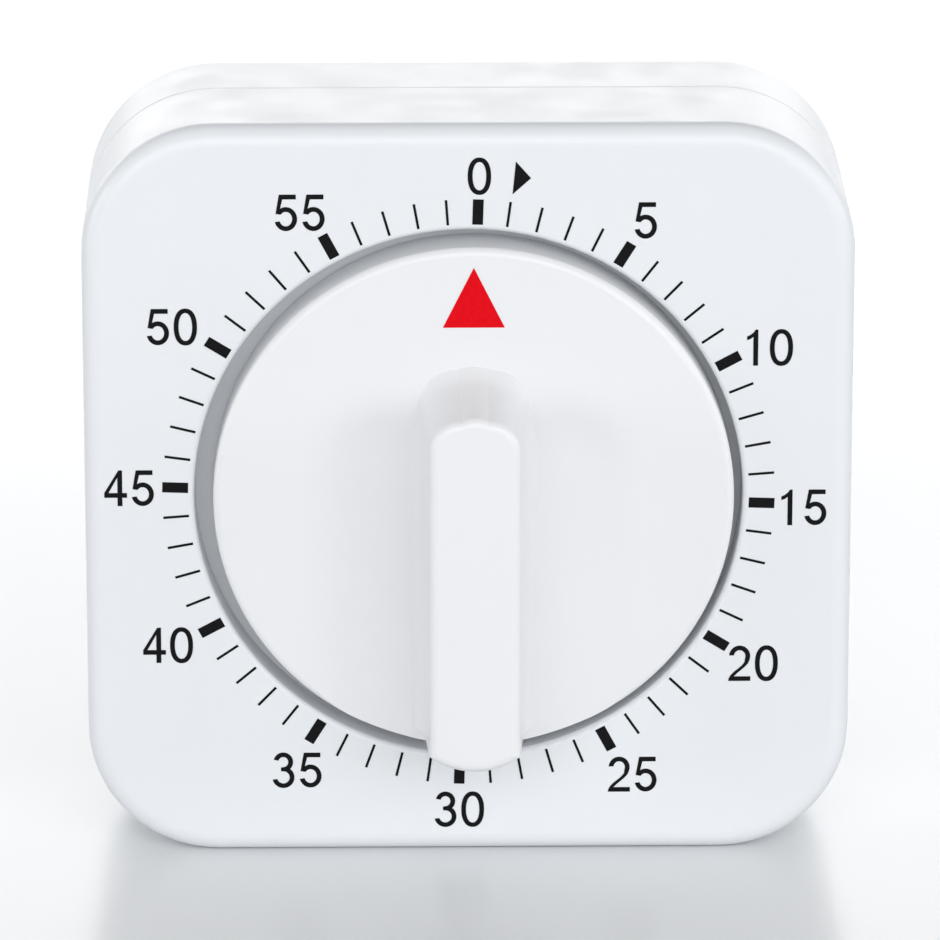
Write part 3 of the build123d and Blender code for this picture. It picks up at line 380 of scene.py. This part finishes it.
def numeral_three():
    upper, lower = (0.31, 0.735), (0.31, 0.295)
    outer_upper = arc(upper, (0.265, 0.275), 166, -52)
    outer_lower = arc(lower, (0.3, 0.305), 56, -168)
    inner_lower = arc(lower, (0.3 - STROKE, 0.305 - STROKE), -164, 82)
    inner_upper = arc(upper, (0.265 - STROKE, 0.275 - STROKE), -84, 164)
    stub = [(0.245, 0.472), (0.245, 0.575)]
    return [outer_upper + outer_lower + inner_lower + stub + inner_upper]


def numeral_four():
    stem_right = 0.5
    stem_left = stem_right - STROKE
    bar_low, bar_high = 0.235, 0.235 + STROKE
    outline = [
        (stem_left, 0.0), (stem_left, bar_low), (0.015, bar_low), (0.015, bar_high), (0.4, 1.0),
        (stem_right, 1.0), (stem_right, bar_high), (0.625, bar_high), (0.625, bar_low),
        (stem_right, bar_low), (stem_right, 0.0),
    ]
    opening = [(0.13, bar_high), (stem_left, bar_high), (stem_left, 0.8)]
    return [outline, opening]


def numeral_five():
    bowl = (0.315, 0.33)
    outer = arc(bowl, (0.3, 0.33), 120, -166)
    inner = arc(bowl, (0.3 - STROKE, 0.33 - STROKE), -162, 142)
    flag = [(0.585, 1.0), (0.585, 1.0 - STROKE), (0.225, 1.0 - STROKE)]
    heel = [(0.15, 0.455), (0.045, 0.475), (0.135, 1.0)]
    return [flag + outer + inner + heel]


NUMERALS = {
    "0": numeral_zero, "1": numeral_one, "2": numeral_two, "3": numeral_three, "4": numeral_four,
    "5": numeral_five,
}


# ---- sizes and colours that a user would change -----------------------------------------------------
def length(name, description, default_mm):
    return bpy.props.FloatProperty(
        name=name, description=description, default=default_mm * MM, min=0.0, precision=5,
        subtype="DISTANCE", unit="LENGTH",
    )


def colour(name, description, default):
    return bpy.props.FloatVectorProperty(
        name=name, description=description, default=default, min=0.0, max=1.0, size=3, subtype="COLOR",
    )


class LabTimerScaleSizes(bpy.types.PropertyGroup):
    tick_inner: length("Tick inner radius", "Where the ticks begin, from the dial's middle", 25.55)
    tick_outer: length("Tick outer radius", "Where the ticks end, from the dial's middle", 27.9)
    minute_width: length("Minute tick width", "Width of the ticks for single minutes", 0.23)
    five_width: length("Five-minute tick width", "Width of the ticks that carry a number", 0.97)
    numeral_height: length("Numeral height", "Height of the printed numerals", 3.4)
    numeral_pitch: length("Numeral pitch", "From one numeral to the next in a number", 2.48)
    ink_thickness: length("Ink thickness", "How far the ink stands off the face", 0.03)
    pointer_width: length("Pointer width", "Base of the triangle on the knob", 5.6)
    pointer_low: length("Pointer base", "Height of the triangle's base over the axis", 16.35)
    pointer_high: length("Pointer tip", "Height of the triangle's tip over the axis", 21.95)
    print_turn: bpy.props.FloatProperty(
        name="Print turn", description="How far the printed scale is turned clockwise",
        default=radians(1.81), subtype="ANGLE", unit="ROTATION",
    )


class LabTimerColours(bpy.types.PropertyGroup):
    case_colour: colour("Case", "Colour of the moulded case", (0.775, 0.80, 0.83))
    knob_colour: colour("Knob", "Colour of the dial knob", (0.80, 0.81, 0.83))
    ink_colour: colour("Scale ink", "Colour of the ticks, numbers and arrow", (0.004, 0.004, 0.005))
    pointer_colour: colour("Pointer ink", "Colour of the triangle on the knob", (0.70, 0.0, 0.006))
    floor_colour: colour("Floor", "Colour of the floor", (0.78, 0.795, 0.81))


def sizes():
    return bpy.context.scene.lab_timer_sizes


def colours():
    return bpy.context.scene.lab_timer_colours


def scale_ink():
    """The one ink of the scale, made the first time that it is asked for."""
    return bpy.data.materials.get("scale_ink") or printed_ink("scale_ink", colours().ink_colour, 0.45)


# ---- the tick ring ----------------------------------------------------------------------------------
def tick_ring_tree():
    """A node group that sets a ring of upright ticks and leaves out those of the other kind."""
    tree = bpy.data.node_groups.new("tick_ring", "GeometryNodeTree")
    graph = Graph(tree)
    inputs = [
        ("Count", "NodeSocketInt"), ("Inner Radius", "NodeSocketFloat"), ("Outer Radius", "NodeSocketFloat"),
        ("Width", "NodeSocketFloat"), ("Thickness", "NodeSocketFloat"), ("Turn", "NodeSocketFloat"),
        ("Numbered Every", "NodeSocketInt"), ("Numbered Only", "NodeSocketBool"),
        ("Ink", "NodeSocketMaterial"),
    ]
    for name, kind in inputs:
        tree.interface.new_socket(name, in_out="INPUT", socket_type=kind)
    tree.interface.new_socket("Geometry", in_out="OUTPUT", socket_type="NodeSocketGeometry")
    given = graph.node("NodeGroupInput", {}, {})
    value = {name: graph.read(given, name) for name, kind in inputs}

    middle = (value["Inner Radius"] + value["Outer Radius"]) / 2
    reach = value["Outer Radius"] - value["Inner Radius"]
    ring = graph.node("GeometryNodeMeshCircle", {}, {"Vertices": value["Count"], "Radius": middle})
    index = graph.read(graph.node("GeometryNodeInputIndex", {}, {}))
    left_over = index % value["Numbered Every"]
    numbered = graph.node(
        "FunctionNodeCompare", {"data_type": "FLOAT", "operation": "LESS_THAN"}, {0: left_over, 1: 0.5}
    )
    chosen = graph.node(
        "FunctionNodeBooleanMath", {"operation": "XNOR"},
        {0: graph.read(numbered), 1: value["Numbered Only"]},
    )
    tick = graph.node("GeometryNodeMeshCube", {}, {
        "Size": graph.read(graph.node(
            "ShaderNodeCombineXYZ", {}, {"X": reach, "Y": value["Width"], "Z": value["Thickness"]}
        )),
    })
    angle = index * (2 * pi) / value["Count"]
    facing = graph.node("ShaderNodeCombineXYZ", {}, {"Z": angle})
    placed = graph.node("GeometryNodeInstanceOnPoints", {}, {
        "Points": graph.read(ring),
        "Selection": graph.read(chosen),
        "Instance": graph.read(tick),
        "Rotation": graph.read(facing),
    })
    start = graph.node("ShaderNodeCombineXYZ", {}, {"Z": pi / 2 - value["Turn"]})
    turned = graph.node("GeometryNodeTransform", {}, {
        "Geometry": graph.read(placed), "Rotation": graph.read(start),
    })
    solid = graph.node("GeometryNodeRealizeInstances", {}, {"Geometry": graph.read(turned)})
    inked = graph.node("GeometryNodeSetMaterial", {}, {
        "Geometry": graph.read(solid), "Material": value["Ink"],
    })
    graph.node("NodeGroupOutput", {}, {"Geometry": graph.read(inked)})
    return tree


def make_tick_ring(name, tree, width, numbered_only):
    """Run the tick ring once and keep its result as a plain mesh on the case."""
    size = sizes()
    values = {
        "Count": MINUTES,
        "Inner Radius": size.tick_inner,
        "Outer Radius": size.tick_outer,
        "Width": width,
        "Thickness": size.ink_thickness,
        "Turn": size.print_turn,
        "Numbered Every": MINUTES_PER_NUMBER,
        "Numbered Only": numbered_only,
        "Ink": scale_ink(),
    }
    holder = bpy.data.objects.new("tick_holder", bpy.data.meshes.new("tick_holder"))
    modifier = holder.modifiers.new("ticks", "NODES")
    modifier.node_group = tree
    for item in tree.interface.items_tree:
        if item.in_out == "INPUT":
            modifier[item.identifier] = values[item.name]
    bpy.context.scene.collection.objects.link(holder)
    mesh = plain_mesh(holder)
    holder.modifiers.remove(modifier)
    bpy.data.objects.remove(holder)
    if not mesh.polygons:
        raise RuntimeError(f"{name}: the tick ring came out empty")
    return place_mesh(name, mesh, on_face(), scale_ink(), "case")


def on_face():
    """From a drawing about the dial's middle to the case's face, with the ink standing on the face."""
    lift = sizes().ink_thickness / 2
    return Matrix.Translation((0, FACE_Y - lift, AXIS_HEIGHT)) @ UPRIGHT


# ---- operators --------------------------------------------------------------------------------------
class LABTIMER_OT_case_finish(bpy.types.Operator):
    """Give the two case mouldings their white plastic"""

    bl_idname = "lab_timer.case_finish"
    bl_label = "Case Finish"

    def execute(self, context):
        plastic = moulded_plastic("case_white", colours().case_colour, 0.36, 0.35 * MM, 0.01 * MM)
        finish_nodes("case_white", plastic)
        return {"FINISHED"}


class LABTIMER_OT_knob_finish(bpy.types.Operator):
    """Give the dial knob its smoother white plastic"""

    bl_idname = "lab_timer.knob_finish"
    bl_label = "Knob Finish"

    def execute(self, context):
        plastic = moulded_plastic("knob_white", colours().knob_colour, 0.33, 0.5 * MM, 0.006 * MM)
        finish_nodes("knob_white", plastic)
        return {"FINISHED"}


class LABTIMER_OT_movement_finish(bpy.types.Operator):
    """Give the plates, arbors, wheels, springs, screws and bell their metals and plastics"""

    bl_idname = "lab_timer.movement_finish"
    bl_label = "Movement Finish"

    def execute(self, context):
        finishes = {
            "plate_steel": (brushed_metal, (0.62, 0.62, 0.60), 0.34, LINES_ACROSS, 0.01 * MM),
            "arbor_steel": (turned_metal, (0.60, 0.60, 0.61), 0.24),
            "screw_steel": (turned_metal, (0.68, 0.68, 0.66), 0.3),
            "spring_steel": (turned_metal, (0.33, 0.35, 0.40), 0.28),
            "wheel_brass": (brushed_metal, (0.83, 0.62, 0.27), 0.3, LINES_UP, 0.008 * MM),
            "wheel_plastic": (moulded_plastic, (0.80, 0.78, 0.70), 0.42, 0.4 * MM, 0.008 * MM),
            "bell_nickel": (turned_metal, (0.72, 0.70, 0.66), 0.16),
        }
        for name, (make, *settings) in finishes.items():
            finish_nodes(name, make(name, *settings))
        return {"FINISHED"}


class LABTIMER_OT_ticks(bpy.types.Operator):
    """Print the sixty ticks round the recess, thin for minutes and thick for the numbered ones"""

    bl_idname = "lab_timer.ticks"
    bl_label = "Scale Ticks"

    def execute(self, context):
        tree = tick_ring_tree()
        make_tick_ring("minute_ticks", tree, sizes().minute_width, False)
        make_tick_ring("five_minute_ticks", tree, sizes().five_width, True)
        return {"FINISHED"}


class LABTIMER_OT_numbers(bpy.types.Operator):
    """Print the twelve numbers round the scale as one piece"""

    bl_idname = "lab_timer.numbers"
    bl_label = "Scale Numbers"

    def execute(self, context):
        size = sizes()
        height = size.numeral_height
        loops = []
        for text, (right, up) in NUMBER_PLACES.items():
            run = (len(text) - 1) * size.numeral_pitch + NUMERAL_WIDTH * height
            for place, digit in enumerate(text):
                left = right * MM - run / 2 + place * size.numeral_pitch
                low = up * MM - height / 2
                for outline in NUMERALS[digit]():
                    loops.append([(left + x * height, low + y * height) for x, y in outline])
        mesh = loops_to_mesh(loops, size.ink_thickness)
        place_mesh("scale_numbers", mesh, on_face(), scale_ink(), "case")
        return {"FINISHED"}


class LABTIMER_OT_turn_arrow(bpy.types.Operator):
    """Print the small arrow beside the zero that shows which way to turn"""

    bl_idname = "lab_timer.turn_arrow"
    bl_label = "Turn Arrow"

    def execute(self, context):
        outline = [(right * MM, up * MM) for right, up in ARROW_CORNERS]
        mesh = loops_to_mesh([outline], sizes().ink_thickness)
        place_mesh("turn_arrow", mesh, on_face(), scale_ink(), "case")
        return {"FINISHED"}


class LABTIMER_OT_pointer(bpy.types.Operator):
    """Print the red triangle on the knob"""

    bl_idname = "lab_timer.pointer"
    bl_label = "Pointer"

    def execute(self, context):
        size = sizes()
        half = size.pointer_width / 2
        outline = [(-half, size.pointer_low), (half, size.pointer_low), (0.0, size.pointer_high)]
        mesh = loops_to_mesh([outline], size.ink_thickness)
        ink = printed_ink("pointer_ink", colours().pointer_colour, 0.4)
        lift = size.ink_thickness / 2
        placement = Matrix.Translation((KNOB_AXIS_X, KNOB_FACE_Y - lift, AXIS_HEIGHT)) @ UPRIGHT
        place_mesh("pointer_triangle", mesh, placement, ink, "dial")
        return {"FINISHED"}


# ---- stage ------------------------------------------------------------------------------------------
CAMERA_DISTANCE = 659.2 * MM
CAMERA_PITCH = radians(17.294)
CAMERA_YAW = radians(-0.818)
CAMERA_LENS = 277.42
CAMERA_SENSOR = 36.0
CAMERA_AIM = (0.125 * MM, 2.398 * MM)

FLOOR_SIZE = 8.0
AIR_STRENGTH = 0.27

# Each soft light: its place, its width and height in metres, and its watts.
LIGHTS = {
    "key_softbox": ((0.2, -1.4, 0.64), (3.2, 0.9), 24.5),
    "back_panel": ((0.0, 1.6, 0.44), (4.4, 0.66), 27.0),
    "side_left": ((-1.3, -0.25, 0.3), (0.8, 0.5), 4.4),
    "side_right": ((1.3, -0.25, 0.3), (0.8, 0.5), 3.6),
}


def make_floor():
    mesh = bpy.data.meshes.new("studio_floor")
    half = FLOOR_SIZE / 2
    corners = [(-half, -half, 0), (half, -half, 0), (half, half, 0), (-half, half, 0)]
    mesh.from_pydata(corners, [], [(0, 1, 2, 3)])
    material, graph, place = new_material("studio_floor", opaque(colours().floor_colour))
    cloud = graph.noise(place, 6.0, 2.0)
    tone = opaque(colours().floor_colour)
    close_material(graph, {
        "Base Color": graph.mixed(graph.ranged(cloud, 0.3, 0.7, 0.0, 1.0), shaded(tone, 0.995), tone),
        "Roughness": graph.ranged(cloud, 0.3, 0.7, 0.22, 0.26),
        "IOR": 1.45,
    })
    mesh.materials.append(material)
    floor = bpy.data.objects.new("studio_floor", mesh)
    bpy.context.scene.collection.objects.link(floor)


def make_light(name, place, size, watts):
    """A rectangular soft light that faces the middle of the timer."""
    data = bpy.data.lights.new(name, "AREA")
    data.shape = "RECTANGLE"
    data.size, data.size_y = size
    data.energy = watts
    light = bpy.data.objects.new(name, data)
    light.location = place
    light.rotation_mode = "QUATERNION"
    aim = Vector((0, 0, AXIS_HEIGHT))
    light.rotation_quaternion = (aim - Vector(place)).to_track_quat("-Z", "Y")
    bpy.context.scene.collection.objects.link(light)


def make_world(strength):
    world = bpy.data.worlds.new("studio_air")
    world.use_nodes = True
    world.node_tree.nodes.clear()
    graph = Graph(world.node_tree)
    shade = graph.node("ShaderNodeBackground", {}, {"Color": (1.0, 1.0, 1.0, 1.0), "Strength": strength})
    graph.node("ShaderNodeOutputWorld", {}, {"Surface": graph.read(shade)})
    bpy.context.scene.world = world


class LABTIMER_OT_stage(bpy.types.Operator):
    """Set the floor, the soft lights, the air and the camera"""

    bl_idname = "lab_timer.stage"
    bl_label = "Stage"

    def execute(self, context):
        scene = context.scene
        make_floor()
        make_world(AIR_STRENGTH)
        for name, (place, size, watts) in LIGHTS.items():
            make_light(name, place, size, watts)
        target = Vector((CAMERA_AIM[0], FACE_Y, AXIS_HEIGHT + CAMERA_AIM[1]))
        back = Vector((
            sin(CAMERA_YAW) * cos(CAMERA_PITCH), -cos(CAMERA_YAW) * cos(CAMERA_PITCH), sin(CAMERA_PITCH)
        ))
        camera = bpy.data.objects.new("camera", bpy.data.cameras.new("camera"))
        camera.data.lens = CAMERA_LENS
        camera.data.sensor_width = CAMERA_SENSOR
        camera.data.clip_start = 0.02
        camera.location = target + back * CAMERA_DISTANCE
        camera.rotation_mode = "QUATERNION"
        camera.rotation_quaternion = (-back).to_track_quat("-Z", "Y")
        scene.collection.objects.link(camera)
        scene.camera = camera
        scene.view_settings.view_transform = "Standard"
        return {"FINISHED"}


# ---- panel and registration -------------------------------------------------------------------------
OPERATORS = [
    LABTIMER_OT_case_finish,
    LABTIMER_OT_knob_finish,
    LABTIMER_OT_movement_finish,
    LABTIMER_OT_ticks,
    LABTIMER_OT_numbers,
    LABTIMER_OT_turn_arrow,
    LABTIMER_OT_pointer,
    LABTIMER_OT_stage,
]


class LABTIMER_PT_panel(bpy.types.Panel):
    """Lists the timer's sizes, colours and pieces"""

    bl_idname = "LABTIMER_PT_panel"
    bl_label = "Lab Timer"
    bl_space_type = "VIEW_3D"
    bl_region_type = "UI"
    bl_category = "Lab Timer"

    def draw(self, context):
        for group in (context.scene.lab_timer_sizes, context.scene.lab_timer_colours):
            for name in group.__annotations__:
                self.layout.prop(group, name)
        for operator in OPERATORS:
            self.layout.operator(operator.bl_idname)


CLASSES = [LabTimerScaleSizes, LabTimerColours, *OPERATORS, LABTIMER_PT_panel]


def register():
    for item in CLASSES:
        bpy.utils.register_class(item)
    bpy.types.Scene.lab_timer_sizes = bpy.props.PointerProperty(type=LabTimerScaleSizes)
    bpy.types.Scene.lab_timer_colours = bpy.props.PointerProperty(type=LabTimerColours)


def unregister():
    del bpy.types.Scene.lab_timer_colours
    del bpy.types.Scene.lab_timer_sizes
    for item in reversed(CLASSES):
        bpy.utils.unregister_class(item)


def main():
    register()
    bpy.ops.lab_timer.case_finish()
    bpy.ops.lab_timer.knob_finish()
    bpy.ops.lab_timer.movement_finish()
    bpy.ops.lab_timer.ticks()
    bpy.ops.lab_timer.numbers()
    bpy.ops.lab_timer.turn_arrow()
    bpy.ops.lab_timer.pointer()
    bpy.ops.lab_timer.stage()


if __name__ == "__main__":
    main()
